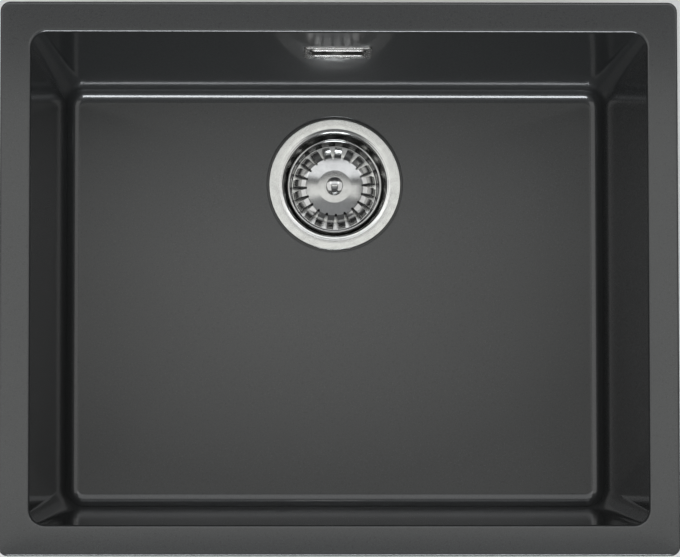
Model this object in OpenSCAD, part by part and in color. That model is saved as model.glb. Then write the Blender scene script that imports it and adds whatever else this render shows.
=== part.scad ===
// Single-bowl kitchen sink moulded in quartz composite, with a 3 1/2 inch basket
// strainer, a lift-out plug and a rigid overflow. Millimetres, +Z up, +Y to the back.
// The origin is the middle of the rim at its underside, which is the level of the
// worktop that the rim lies on.

/* [Rim] */
// Length of the rim, left to right
rim_len = 550; // [544:1:600]
// Depth of the rim, front to back
rim_dep = 450; // [444:1:500]
// Thickness of the rim
rim_t = 10; // [8:0.5:14]
// Radius of the rim's outer corners
rim_corner_r = 8; // [4:0.5:20]
// Rounding of the rim's outer top edge
rim_edge_r = 2; // [1:0.25:4]

/* [Bowl] */
// Length of the bowl's mouth
bowl_len = 500; // [440:1:506]
// Depth of the bowl's mouth, front to back
bowl_dep = 400; // [370:1:406]
// Height from the rim's top down to the edge of the floor
bowl_h = 200; // [160:1:220]
// Wall thickness of the moulding
wall_t = 9; // [7:0.5:11]
// Draft of the walls, in degrees
draft = 6.8; // [3:0.1:8]
// Radius of the bowl's upright corners at the mouth
mouth_corner_r = 13; // [8:0.5:25]
// Radius of the bowl's upright corners at the floor
floor_corner_r = 16; // [14:0.5:25]
// Fillet between the walls and the floor
floor_fillet_r = 12; // [8:0.5:13.5]
// Rounding of the bowl's mouth
mouth_edge_r = 2.5; // [1:0.25:4]
// Fall of the floor from its edges to the drain
floor_fall = 3; // [1:0.5:5]

/* [Drain opening] */
// Distance from the back edge of the mouth to the drain's axis
drain_back = 103; // [100:1:140]
// Diameter of the drain hole
drain_hole_d = 90; // [90:0.5:94]
// Depth of the seat that the flange lies in
seat_depth = 3; // [2:0.25:4]
// Moulding left under the flange's seat
seat_t = 9; // [8:0.5:12]

/* [Strainer] */
// Outer diameter of the strainer flange
flange_d = 112; // [108:0.5:116]
// Inner diameter of the cup's wall just under the flange
cup_d = 87.4; // [86:0.1:88]
// Depth of the cup under the top of its flange
cup_depth = 37.4; // [36:0.2:44]
// Thickness of the stainless pressings
sheet_t = 0.8; // [0.6:0.1:1]
// Number of holes in the bottom of the cup
cup_holes = 8; // [5:1:9]

/* [Basket] */
// Outer diameter of the basket's rolled rim
basket_d = 81; // [78:0.5:82]
// Depth of the basket's rim under the flange
basket_sink = 12; // [10:0.5:14]
// Number of slots round the dome
slots = 20; // [16:1:22]
// Width of the strips between the slots
strip_w = 5.6; // [4.5:0.1:6]
// Radius at the narrow end of a slot
slot_in_r = 24; // [23:0.5:25]
// Radius at the wide end of a slot
slot_out_r = 35.6; // [34.5:0.1:36.2]

/* [Plug] */
// Diameter of the knob
knob_d = 14; // [12:0.5:18]
// Height of the knob
knob_h = 11.5; // [9:0.5:14]
// Diameter of the rubber stopper's lip
stopper_d = 48; // [46:0.5:50]

/* [Waste body] */
// Inner diameter of the waste body
pot_d = 94; // [92:0.5:98]
// Wall of the plastic mouldings
plastic_t = 2.5; // [2:0.1:3]
// Height of the waste body's straight wall
pot_h = 49; // [47:0.5:56]
// Outer diameter of the threaded outlet, 1 1/2 inch pipe thread
outlet_d = 47.8; // [46:0.1:49]
// Bore of the outlet
outlet_bore_d = 40; // [36:0.5:42]
// Length of the outlet's thread
outlet_len = 22; // [18:0.5:26]

/* [Overflow] */
// Height from the rim's top down to the middle of the overflow
overflow_down = 66.5; // [60:0.5:75]
// Width of the overflow plate
plate_w = 56; // [54:0.5:58]
// Height of the overflow plate
plate_h = 35; // [33:0.5:37]
// How far the overflow plate stands off the wall
plate_proud = 2.5; // [2:0.25:3]
// Width of the slot in the overflow plate
slot_w = 45; // [40:0.5:46]
// Height of the slot in the overflow plate
slot_h = 25; // [22:0.5:26]
// Outer diameter of the overflow pipe
pipe_d = 20; // [18:0.5:22]
// Wall of the overflow pipe
pipe_wall = 1.2; // [1:0.1:1.6]

/* [Fixing inserts] */
// Half the distance between the inserts along the front and along the back
insert_x = 150; // [100:1:180]
// Half the distance between the inserts along each side
insert_y = 110; // [70:1:130]
// Distance from the mouth out to the axis of the inserts
insert_out = 7; // [6.5:0.25:8]
// Length of the inserts
insert_len = 12; // [8:1:14]
// Outer diameter of the inserts
insert_d = 6.4; // [6:0.1:7]
// Tapping bore of the inserts, for an M5 thread
insert_bore_d = 4.2; // [4:0.1:4.5]

/* [Hidden] */
$fn = 96;
// Overlap between forms that are fused, and overrun of cuts
eps = 0.01;
over = 1;
// Segments of the large hulled corners and of the bowl's fillets
corner_fn = 32;
// Steps of the rounding round the bowl's mouth
mouth_steps = 4;

// Bowl
slope = tan(draft);
wall_across = wall_t / cos(draft);
floor_z = rim_t - bowl_h;
drain_y = bowl_dep / 2 - drain_back;
drain_floor_z = floor_z - floor_fall;
// How far the edge of the flat floor lies in from the mouth
floor_inset = (bowl_h - floor_fillet_r) * slope + floor_fillet_r / cos(draft);
floor_half_x = bowl_len / 2 - floor_inset;
floor_half_y = bowl_dep / 2 - floor_inset;

// Drain seat
flange_r = flange_d / 2;
seat_gap = 1.5;
seat_r = flange_r + seat_gap;
seat_z = drain_floor_z - seat_depth;
boss_z = seat_z - seat_t;
boss_r = flange_r + 6;
hole_r = drain_hole_d / 2;
flange_seal_t = 0.8;

// Cup: its heights count down from the top of the flange at its outer edge. The flange
// dips towards the mouth of the cup, where it lies on its seal.
flange_dip = 0.9;
flange_lip_r = 1.6;
flange_top_z = seat_z + flange_seal_t + flange_dip + sheet_t / 2 + 0.05;
cup_r = cup_d / 2 + sheet_t / 2;
flange_seal_r = cup_r + flange_lip_r + 0.3;
cup_low_r = 41.4;
cup_bend_r = 3;
flange_bend_r = 1.2;
hub_r = 9;
bead_r = 22.5;
bead_h = 1;
cup_floor_z = flange_top_z - cup_depth;
cup_floor_top_z = cup_floor_z + sheet_t / 2;
cup_hole_r = 3.6;
cup_hole_ring_r = 14.5;

// Screw that clamps the cup to the waste body, M6
screw_r = 3;
screw_hole_r = 3.2;
screw_head_r = 6;
screw_head_h = 7;
socket_r = 3.1;
socket_depth = 6;
screw_head_top_z = cup_floor_top_z + screw_head_h;

// Basket: its middle sheet at the dome's flat top is at plate_z
basket_rim_z = flange_top_z - basket_sink;
plate_down = 4;
plate_z = basket_rim_z - plate_down;
dome_flat_r = 13;
dome_brim_r = 24;
dome_brim_down = 2.6;
trough_down = 15.4;
rim_roll_r = 1;
play = 0.3;

// Plug
shank_r = 3.2;
shank_hole_r = 3.28;
stem_r = 2;
washer_r = 9;
washer_t = 1;
shoulder_z = plate_z + sheet_t / 2 + play;
washer_top_z = plate_z - sheet_t / 2 - play;
stopper_top_z = washer_top_z - washer_t;
stopper_roof_z = stopper_top_z - 6;
stopper_lip_z = cup_floor_top_z + bead_h + play;
guide_collar_r = 5;
guide_collar_t = 2;
guide_r = 2.8;
guide_tip_z = screw_head_top_z - socket_depth + 0.6;
stem_top_z = shoulder_z + knob_h - 3;
stem_low_z = stopper_roof_z - guide_collar_t - 3;

// Waste body
waste_seal_t = 2.5;
waste_seal_top_z = boss_z;
pot_top_z = boss_z - waste_seal_t;
pot_r = pot_d / 2;
pot_flange_t = 4;
pot_flange_r = flange_r + 1;
pot_low_z = pot_top_z - pot_h;
pot_neck_z = pot_low_z - 6;
outlet_r = outlet_d / 2;
outlet_bore_r = outlet_bore_d / 2;
outlet_z = pot_neck_z - outlet_len;
pot_hub_r = 9;
pot_hub_h = 12;
pot_hub_top_z = pot_low_z + 15;
rib_t = 2.5;
nut_across_flats = 10;
nut_t = 5;
nut_z = pot_hub_top_z - pot_hub_h + 3;

// Overflow joints: a pipe end is held in a spigot by a wedge seal and a ribbed nut
pipe_r = pipe_d / 2;
pipe_bore_r = pipe_r - pipe_wall;
slip = 0.1;
spigot_bore_r = pipe_r + slip;
spigot_r = pipe_r + 3;
wedge_t = 4;
nut_r = spigot_r + 2.2;
nut_grip = 10;
nut_lip = 2.7;
nut_ribs = 16;
insertion = 14;

// Overflow fitting on the back wall, in a frame that leans with the wall
overflow_z = rim_t - overflow_down;
overflow_y = bowl_dep / 2 - overflow_down * slope;
plate_t = 1;
// Play between the overflow plate's edge and the wall
plate_play = 0.05;
collar_in = 5;
strap_w = 10;
slot_corner_r = 4;
opening_w = slot_w + 3;
opening_h = slot_h + 3;
pad_t = 1.5;
overflow_seal_t = 2;
head_flange_y = wall_t + pad_t + overflow_seal_t;
head_flange_t = 3;
head_deep = 18;
head_w = 54;
head_h = 40;
overflow_screw_r = 2.5;
screw_web = 1.2;
boss_nut_t = 4;

// Overflow pipe and elbow
pipe_out = 24.5;
head_drop = 43.5;
head_foot = 8;
pipe_y = overflow_y + pipe_out;
head_mouth_z = overflow_z - head_drop;
inlet_rise = 13;
inlet_z = pot_low_z + inlet_rise;
bend_r = 20;
elbow_socket = 18;
elbow_mouth_z = inlet_z + bend_r + elbow_socket;
// The elbow's straight bores are a hair narrower than its bend and run a little way into it
bore_step = 0.05;
bore_into_bend = 0.5;
inlet_mouth_y = drain_y + pot_r + plastic_t + 16;

// Fixing inserts
lug_r = 6.3;
lug_len = 20;

// Points of an arc about c, from angle a0 to a1 in n steps
function arc(c, r, a0, a1, n) =
    [for (i = [0:n]) c + r * [cos(a0 + (a1 - a0) * i / n), sin(a0 + (a1 - a0) * i / n)]];

function unit(v) = v / norm(v);

// Unit normal on the left of the path at point i
function left_of(path, i) =
    let (
        before = unit(path[max(i, 1)] - path[max(i, 1) - 1]),
        after = unit(path[min(i + 1, len(path) - 1)] - path[min(i + 1, len(path) - 1) - 1]),
        mid = unit(before + after),
        cosine = mid * after
    ) [-mid.y, mid.x] / cosine;

// Outline of a sheet of thickness t whose middle follows the path
function sheet_outline(path, t) =
    let (n = len(path) - 1) concat(
        [for (i = [0:n]) path[i] + left_of(path, i) * t / 2],
        [for (i = [n:-1:0]) path[i] - left_of(path, i) * t / 2]
    );

module at_drain() {
    translate([0, drain_y, 0]) children();
}

// Frame on the back wall: x along the wall, y out through it, z up along it
module on_back_wall() {
    translate([0, overflow_y, overflow_z]) rotate([-draft, 0, 0]) children();
}

// Rounded rectangle in the wall's frame, from y0 to y1
module wall_block(w, h, r, y0, y1) {
    translate([0, y1, 0]) rotate([90, 0, 0]) linear_extrude(y1 - y0) rounded(w, h, r);
}

module rounded(w, h, r) {
    square([w - 2 * r, h], center = true);
    square([w, h - 2 * r], center = true);
    for (x = [-1, 1], y = [-1, 1])
        translate([x * (w / 2 - r), y * (h / 2 - r)]) circle(r);
}

module ring(r_out, r_in, h) {
    difference() {
        cylinder(r = r_out, h = h);
        translate([0, 0, -over]) cylinder(r = r_in, h = h + 2 * over);
    }
}

// One disc in each corner of a rectangle of half sizes x and y
module corner_discs(x, y, r, z, h) {
    for (sx = [-1, 1], sy = [-1, 1])
        translate([sx * (x - r), sy * (y - r), z]) cylinder(r = r, h = h, $fn = corner_fn * 2);
}

// One ring of round section in each corner of the floor
module corner_tori(r_major, r_round, z) {
    for (sx = [-1, 1], sy = [-1, 1])
        translate([sx * (floor_half_x - r_major), sy * (floor_half_y - r_major), z])
            rotate_extrude($fn = corner_fn) intersection() {
                translate([r_major, 0]) circle(r_round, $fn = corner_fn);
                translate([0, -2 * r_round]) square(4 * r_round);
            }
}

// Space inside the bowl: drafted walls, filleted floor that falls to the drain
module bowl_space() {
    r_major = floor_corner_r - floor_fillet_r;
    hull() {
        corner_discs(bowl_len / 2, bowl_dep / 2, mouth_corner_r, rim_t, over);
        corner_tori(r_major, floor_fillet_r, floor_z + floor_fillet_r);
        at_drain() translate([0, 0, drain_floor_z]) cylinder(r = seat_r, h = eps, $fn = corner_fn * 2);
    }
}

// Rounding of the mouth, as slices that widen to the rim's top
module mouth_rounding() {
    drop = mouth_edge_r * slope;
    function out(i) = mouth_edge_r * (1 - cos(90 * i / mouth_steps)) - drop;
    function up(i) = rim_t - mouth_edge_r * (1 - sin(90 * i / mouth_steps));
    for (i = [0:mouth_steps - 1])
        hull()
            for (k = [i, i + 1])
                corner_discs(bowl_len / 2 + out(k), bowl_dep / 2 + out(k), mouth_corner_r + out(k),
                    up(k), k == mouth_steps ? over : eps);
}

module bowl_shell() {
    r_major = floor_corner_r - floor_fillet_r;
    top_z = rim_t / 2;
    reach = wall_across - (rim_t - top_z) * slope;
    hull() {
        corner_discs(bowl_len / 2 + reach, bowl_dep / 2 + reach, mouth_corner_r + wall_t, top_z, eps);
        corner_tori(r_major, floor_fillet_r + wall_t, floor_z + floor_fillet_r);
    }
}

module rim_slab() {
    profile = concat(
        [[0, 0], [rim_corner_r, 0]],
        arc([rim_corner_r - rim_edge_r, rim_t - rim_edge_r], rim_edge_r, 0, 90, 5),
        [[0, rim_t]]
    );
    hull()
        for (sx = [-1, 1], sy = [-1, 1])
            translate([sx * (rim_len / 2 - rim_corner_r), sy * (rim_dep / 2 - rim_corner_r), 0])
                rotate_extrude($fn = corner_fn) polygon(profile);
}

// Runs its children at each fixing insert; local -x points to the bowl
module at_inserts() {
    for (side = [0, 1], s = [-1, 1]) {
        translate([s * insert_x, (side ? 1 : -1) * (bowl_dep / 2 + insert_out), 0])
            rotate([0, 0, side ? 90 : -90]) children();
        translate([(side ? 1 : -1) * (bowl_len / 2 + insert_out), s * insert_y, 0])
            rotate([0, 0, side ? 0 : 180]) children();
    }
}

// Lug under the rim that holds one insert
module lug() {
    translate([0, 0, -lug_len]) {
        cylinder(r = lug_r, h = lug_len + over);
        translate([-lug_r, -lug_r, 0]) cube([lug_r, 2 * lug_r, lug_len + over]);
    }
}

// Thick ring under the floor that the waste seal bears on
module drain_boss() {
    cone_h = 6;
    translate([0, 0, boss_z]) cylinder(r = boss_r, h = seat_t);
    translate([0, 0, boss_z + 2]) cylinder(r1 = boss_r, r2 = boss_r + cone_h, h = cone_h);
}

module drain_cut() {
    lead = 0.8;
    top = -seat_z + floor_z + over;
    translate([0, 0, seat_z]) cylinder(r = seat_r, h = top);
    translate([0, 0, drain_floor_z - lead]) cylinder(r1 = seat_r, r2 = seat_r + 2 * lead, h = 2 * lead);
    translate([0, 0, boss_z - over]) cylinder(r = hole_r, h = seat_t + 2 * over);
}

module bowl() {
    color([0.14, 0.145, 0.14]) difference() {
        union() {
            rim_slab();
            difference() {
                union() {
                    bowl_shell();
                    at_inserts() lug();
                    on_back_wall() wall_block(66, 52, 6, wall_t / 2, wall_t + pad_t);
                    at_drain() drain_boss();
                }
                translate([-rim_len, -rim_dep, rim_t / 2]) cube([2 * rim_len, 2 * rim_dep, bowl_h]);
            }
        }
        bowl_space();
        mouth_rounding();
        at_drain() drain_cut();
        on_back_wall() wall_block(opening_w, opening_h, slot_corner_r, -over * 3, wall_t + pad_t + over);
        at_inserts() translate([0, 0, -lug_len - over]) cylinder(d = insert_d, h = insert_len + over);
    }
}

// Brass inserts, each with a groove that keys it into the moulding
module rim_inserts() {
    outer = insert_d / 2;
    bore = insert_bore_d / 2;
    groove = 0.3;
    color([0.78, 0.6, 0.3]) at_inserts() translate([0, 0, -lug_len]) rotate_extrude() polygon([
        [bore + 0.4, 0], [outer, 0], [outer, insert_len * 0.4], [outer - groove, insert_len * 0.4],
        [outer - groove, insert_len * 0.6], [outer, insert_len * 0.6], [outer, insert_len],
        [bore, insert_len], [bore, 0.4]
    ]);
}

module flange_seal() {
    color([0.08, 0.08, 0.08]) at_drain() translate([0, 0, seat_z]) ring(flange_r - 1.5, flange_seal_r, flange_seal_t);
}

// Middle line of the cup's pressing, from the flange's edge in to the screw hole
function cup_path() = concat(
    arc([flange_r - flange_bend_r, -flange_bend_r], flange_bend_r - sheet_t / 2, 0, 84, 3),
    [[flange_r - 4, -0.35]],
    arc([cup_r + flange_lip_r, -flange_dip - flange_lip_r], flange_lip_r, 92, 180, 6),
    [[cup_r - 0.9, -basket_sink]],
    arc([cup_low_r - cup_bend_r, -cup_depth + cup_bend_r + 1.1], cup_bend_r, -4, -88, 6),
    [[bead_r + 3, -cup_depth]],
    arc([bead_r, -cup_depth - 0.4], bead_h + 0.4, 30, 150, 6),
    [[bead_r - 3, -cup_depth], [hub_r + 2, -cup_depth], [screw_hole_r, -cup_depth]]
);

module strainer_cup() {
    color([0.82, 0.82, 0.8]) at_drain() difference() {
        translate([0, 0, flange_top_z]) rotate_extrude() polygon(sheet_outline(cup_path(), sheet_t));
        for (i = [0:cup_holes - 1])
            rotate([0, 0, 360 * (i + 0.5) / cup_holes])
                translate([cup_hole_ring_r, 0, cup_floor_z - 3]) cylinder(r = cup_hole_r, h = 6);
    }
}

// Hollow-headed screw; the socket in its head takes the plug's guide pin
module cup_screw() {
    head_edge = 0.8;
    low_z = nut_z - 4;
    color([0.75, 0.75, 0.74]) at_drain() difference() {
        union() {
            translate([0, 0, cup_floor_top_z]) cylinder(r = screw_head_r, h = screw_head_h - head_edge);
            translate([0, 0, screw_head_top_z - head_edge])
                cylinder(r1 = screw_head_r, r2 = screw_head_r - head_edge, h = head_edge);
            translate([0, 0, low_z]) cylinder(r = screw_r, h = cup_floor_top_z - low_z + eps);
        }
        translate([0, 0, screw_head_top_z - socket_depth]) cylinder(r = socket_r, h = socket_depth + over);
    }
}

module waste_seal() {
    color([0.07, 0.07, 0.07]) at_drain() translate([0, 0, pot_top_z])
        ring(pot_flange_r, hole_r + 0.5, waste_seal_t);
}

// Solid of the waste body before it is hollowed, and the hollow, as revolved outlines
function pot_outline(t) = [
    [0, pot_top_z + (t ? 0 : over)], [pot_r + t, pot_top_z + (t ? 0 : over)],
    [pot_r + t, pot_low_z + 4], [pot_r + t - 4, pot_low_z],
    [outlet_bore_r + t + 4, pot_low_z - t], [outlet_bore_r + t, pot_neck_z - t],
    [outlet_bore_r + t, pot_neck_z - t - eps], [0, pot_neck_z - t - eps]
];

module waste_body() {
    lip_t = 1;
    color([0.13, 0.13, 0.14]) at_drain() {
        difference() {
            union() {
                rotate_extrude() polygon(pot_outline(plastic_t));
                translate([0, 0, pot_top_z - pot_flange_t]) cylinder(r = pot_flange_r, h = pot_flange_t);
                translate([0, 0, outlet_z]) cylinder(r = outlet_r, h = outlet_len);
                translate([0, 0, pot_neck_z - 3]) cylinder(r = outlet_r + 2.4, h = 3);
                for (i = [0:11])
                    rotate([0, 0, 15 + 30 * i]) translate([pot_r, -lip_t, pot_top_z - pot_flange_t - 9])
                        cube([8, 2 * lip_t, 9 + eps]);
                translate([0, 0, inlet_z]) rotate([-90, 0, 0])
                    cylinder(r = spigot_r, h = inlet_mouth_y - drain_y);
            }
            rotate_extrude() polygon(pot_outline(0));
            translate([0, 0, outlet_z - over]) cylinder(r = outlet_bore_r, h = outlet_len + 6);
            translate([0, 0, inlet_z]) rotate([-90, 0, 0])
                cylinder(r = spigot_bore_r, h = inlet_mouth_y - drain_y + over);
        }
        pot_hub();
    }
}

// Hub on four ribs that holds the clamp nut
module pot_hub() {
    hub_low_z = pot_hub_top_z - pot_hub_h;
    difference() {
        union() {
            translate([0, 0, hub_low_z]) cylinder(r = pot_hub_r, h = pot_hub_h);
            for (a = [45, 135])
                rotate([0, 0, a]) translate([-pot_r - 1, -rib_t / 2, hub_low_z])
                    cube([2 * pot_r + 2, rib_t, pot_hub_h]);
        }
        translate([0, 0, hub_low_z - over]) cylinder(r = screw_hole_r, h = pot_hub_h + 2 * over);
        translate([0, 0, hub_low_z - over]) hexagon(nut_z + nut_t - hub_low_z + over);
    }
}

module hexagon(h) {
    cylinder(d = nut_across_flats / cos(30), h = h, $fn = 6);
}

module clamp_nut() {
    color([0.78, 0.6, 0.3]) at_drain() translate([0, 0, nut_z]) difference() {
        hexagon(nut_t);
        translate([0, 0, -over]) cylinder(r = screw_r, h = nut_t + 2 * over);
    }
}

// Turned knob: domed cap, waisted neck and the shank that the basket turns on
module knob() {
    r = knob_d / 2;
    cap_low = knob_h * 0.42;
    neck_r = r * 0.62;
    dome_h = 1.4;
    dome_r = (r * r + dome_h * dome_h) / (2 * dome_h);
    half = asin((r - 0.5) / dome_r);
    profile = concat(
        [[stem_r, -2 * play - sheet_t], [shank_r, -2 * play - sheet_t], [shank_r, 0], [neck_r + 0.8, 0]],
        arc([neck_r + 1.5, cap_low / 2], 1.5, 240, 120, 6),
        [[r - 0.6, cap_low], [r, cap_low + 0.6], [r, knob_h - dome_h - 0.3]],
        arc([0, knob_h - dome_r], dome_r, 90 - half, 90, 8),
        [[0, stem_top_z - shoulder_z], [stem_r, stem_top_z - shoulder_z]]
    );
    color([0.8, 0.8, 0.79]) at_drain() translate([0, 0, shoulder_z]) rotate_extrude() polygon(profile);
}

module stem() {
    color([0.7, 0.7, 0.69]) at_drain() translate([0, 0, stem_low_z]) cylinder(r = stem_r, h = stem_top_z - stem_low_z);
}

module stopper_washer() {
    color([0.75, 0.75, 0.74]) at_drain() translate([0, 0, stopper_top_z]) ring(washer_r, stem_r, washer_t);
}

// Rubber bell that closes on the cup's bead, hollow over the screw head
module stopper() {
    lip_r = stopper_d / 2;
    head_room_r = screw_head_r + 1.5;
    profile = concat(
        [[stem_r, stopper_top_z], [washer_r, stopper_top_z]],
        arc([lip_r + 1, stopper_top_z - 1.5], lip_r + 1 - washer_r, 180, 238, 8),
        [[lip_r, stopper_lip_z + 2.6], [lip_r, stopper_lip_z + 0.6], [lip_r - 0.6, stopper_lip_z],
         [bead_r - 3, stopper_lip_z], [bead_r - 5, stopper_lip_z + 1.6],
         [head_room_r + 1, stopper_lip_z + 4], [head_room_r, stopper_lip_z + 6],
         [head_room_r, stopper_roof_z], [stem_r, stopper_roof_z]]
    );
    color([0.1, 0.1, 0.1]) at_drain() rotate_extrude() polygon(profile);
}

// Nylon pin whose split tip slides in the screw's socket and keeps the plug upright
module guide_pin() {
    tip = 1.2;
    neck_r = guide_r - 0.5;
    top_z = stopper_roof_z - guide_collar_t;
    profile = [
        [0, guide_tip_z], [guide_r - tip * 0.7, guide_tip_z], [guide_r, guide_tip_z + tip],
        [guide_r, guide_tip_z + tip + 0.8], [neck_r, guide_tip_z + tip + 2],
        [neck_r, stem_low_z - 0.8], [guide_r + 0.7, stem_low_z], [guide_r + 0.7, top_z],
        [guide_collar_r, top_z], [guide_collar_r, stopper_roof_z], [0, stopper_roof_z]
    ];
    color([0.9, 0.9, 0.87]) at_drain() difference() {
        rotate_extrude() polygon(profile);
        translate([0, 0, stem_low_z]) cylinder(r = stem_r, h = stopper_roof_z - stem_low_z + over);
        for (a = [0, 90])
            rotate([0, 0, a]) translate([-guide_r - over, -0.4, guide_tip_z - over])
                cube([2 * (guide_r + over), 0.8, 3.2 + over]);
    }
}

// Middle line of the basket's pressing: dome, trough, wall and rolled rim
function basket_path() =
    let (rim_c = [basket_d / 2 - rim_roll_r - sheet_t / 2, plate_down - rim_roll_r - sheet_t / 2]) concat(
        [[shank_hole_r, 0], [dome_flat_r, 0], [dome_flat_r + 1.6, -0.2]],
        arc([dome_brim_r - 1.2, -dome_brim_down - 3], 3, 75, 38, 4),
        arc([34.2, -trough_down + 2.6], 2.6, 218, 270, 5),
        arc([34.6, -trough_down + 2.6], 2.6, 276, 354, 6),
        [rim_c + [-rim_roll_r - 0.1, -1.5]],
        arc(rim_c, rim_roll_r, 175, -20, 10)
    );

module basket() {
    function half_gap(r) = (2 * PI * r / slots - strip_w) / 2;
    color([0.82, 0.82, 0.81]) at_drain() difference() {
        translate([0, 0, plate_z]) rotate_extrude() polygon(sheet_outline(basket_path(), sheet_t));
        for (i = [0:slots - 1])
            rotate([0, 0, 360 * (i + 0.15) / slots]) translate([0, 0, plate_z - trough_down - 2])
                linear_extrude(trough_down + 4) polygon([
                    [slot_in_r, -half_gap(slot_in_r)], [slot_out_r, -half_gap(slot_out_r)],
                    [slot_out_r, half_gap(slot_out_r)], [slot_in_r, half_gap(slot_in_r)]
                ]);
    }
}

// Pressed plate with a collar turned in round its slot, and a strap for the screw
module overflow_plate() {
    edge = 1.2;
    face_y = -plate_proud;
    color([0.8, 0.79, 0.76]) on_back_wall() {
        difference() {
            union() {
                wall_block(plate_w - 2 * edge, plate_h - 2 * edge, 1.2, face_y, -plate_play);
                wall_block(plate_w, plate_h, 2, face_y + edge / 2, -plate_play);
            }
            wall_block(plate_w - 2 * plate_t, plate_h - 2 * plate_t, 1.5, face_y + plate_t, over);
            wall_block(slot_w - 2 * plate_t, slot_h - 2 * plate_t, slot_corner_r - plate_t, face_y - over, over);
        }
        difference() {
            wall_block(slot_w, slot_h, slot_corner_r, face_y + plate_t - eps, collar_in);
            wall_block(slot_w - 2 * plate_t, slot_h - 2 * plate_t, slot_corner_r - plate_t,
                face_y - over, collar_in + over);
        }
        difference() {
            translate([-strap_w / 2, collar_in - plate_t, -slot_h / 2 + plate_t / 2])
                cube([strap_w, plate_t, slot_h - plate_t]);
            rotate([-90, 0, 0]) cylinder(r = overflow_screw_r + 0.2, h = collar_in + over);
        }
    }
}

module overflow_screw() {
    head_r = 4.5;
    head_h = 2.6;
    start_y = collar_in - plate_t;
    end_y = head_flange_y + head_deep - screw_web - 1.3;
    color([0.75, 0.75, 0.74]) on_back_wall() rotate([-90, 0, 0]) difference() {
        union() {
            translate([0, 0, start_y]) cylinder(r = overflow_screw_r, h = end_y - start_y);
            translate([0, 0, start_y - head_h]) cylinder(r1 = head_r - 0.8, r2 = head_r, h = head_h);
        }
        for (a = [0, 90])
            rotate([0, 0, a]) translate([-2.4, -0.5, start_y - head_h - over]) cube([4.8, 1, 1.6 + over]);
    }
}

module overflow_seal() {
    color([0.07, 0.07, 0.07]) on_back_wall() difference() {
        wall_block(head_w + 6, head_h + 6, 6, wall_t + pad_t, head_flange_y);
        wall_block(opening_w, opening_h, slot_corner_r, wall_t, head_flange_y + over);
    }
}

// Chamber behind the wall with a boss for the screw and a spigot straight down
module overflow_head() {
    boss_r_head = 6;
    back_y = head_flange_y + head_deep;
    spigot_top_z = overflow_z - head_h / 2 + head_foot;
    bore_z = head_mouth_z + insertion + 1;
    color([0.13, 0.13, 0.14]) difference() {
        union() {
            on_back_wall() {
                wall_block(head_w + 6, head_h + 6, 6, head_flange_y, head_flange_y + head_flange_t);
                wall_block(head_w, head_h, 5, head_flange_y, back_y);
            }
            translate([0, pipe_y, head_mouth_z]) cylinder(r = spigot_r, h = spigot_top_z - head_mouth_z);
        }
        difference() {
            on_back_wall()
                wall_block(head_w - 2 * plastic_t, head_h - 2 * plastic_t, 3, head_flange_y - over, back_y - plastic_t);
            on_back_wall() rotate([-90, 0, 0]) cylinder(r = boss_r_head, h = back_y);
        }
        translate([0, pipe_y, bore_z - eps]) cylinder(r = pipe_bore_r, h = spigot_top_z - plastic_t - bore_z);
        translate([0, pipe_y, head_mouth_z - over]) cylinder(r = spigot_bore_r, h = insertion + 1 + 2 * over);
        on_back_wall() rotate([-90, 0, 0]) {
            translate([0, 0, head_flange_y - over])
                cylinder(r = overflow_screw_r + 0.2, h = head_deep - screw_web + over);
            translate([0, 0, head_flange_y - over]) cylinder(r = 4, h = boss_nut_t + over);
        }
    }
}

// Brass nut sunk in the head's boss
module overflow_head_nut() {
    color([0.78, 0.6, 0.3]) on_back_wall() rotate([-90, 0, 0]) translate([0, 0, head_flange_y])
        ring(4, overflow_screw_r, boss_nut_t);
}

// Wedge seal on a pipe end; the spigot's mouth is at z = 0 and the pipe leaves along +z
module wedge_seal() {
    rotate_extrude() polygon([
        [pipe_r, 0], [spigot_r - 0.3, 0], [spigot_r - 0.3, 1], [spigot_r - 1.6, wedge_t], [pipe_r, wedge_t]
    ]);
}

// Ribbed nut over a spigot, in the same frame as its seal
module ribbed_nut() {
    h = nut_grip + wedge_t + play + nut_lip;
    difference() {
        translate([0, 0, -nut_grip]) {
            cylinder(r = nut_r - 0.6, h = h);
            cylinder(r = nut_r, h = h - 1.5);
            linear_extrude(h - 3) for (i = [0:nut_ribs - 1])
                rotate([0, 0, 360 * i / nut_ribs]) translate([nut_r - 0.4, 0]) circle(1.1, $fn = 24);
        }
        translate([0, 0, -nut_grip - over]) cylinder(r = spigot_r, h = nut_grip + wedge_t + play + over);
        translate([0, 0, -nut_grip - over]) cylinder(r = pipe_r + 0.4, h = h + 2 * over);
    }
}

module at_head_mouth() {
    translate([0, pipe_y, head_mouth_z]) rotate([180, 0, 0]) children();
}

module at_elbow_mouth() {
    translate([0, pipe_y, elbow_mouth_z]) children();
}

module at_inlet_mouth() {
    translate([0, inlet_mouth_y, inlet_z]) rotate([-90, 0, 0]) children();
}

module overflow_pipe() {
    low = elbow_mouth_z - insertion;
    color([0.16, 0.16, 0.17]) translate([0, pipe_y, low])
        ring(pipe_r, pipe_bore_r, head_mouth_z + insertion - low);
}

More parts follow.
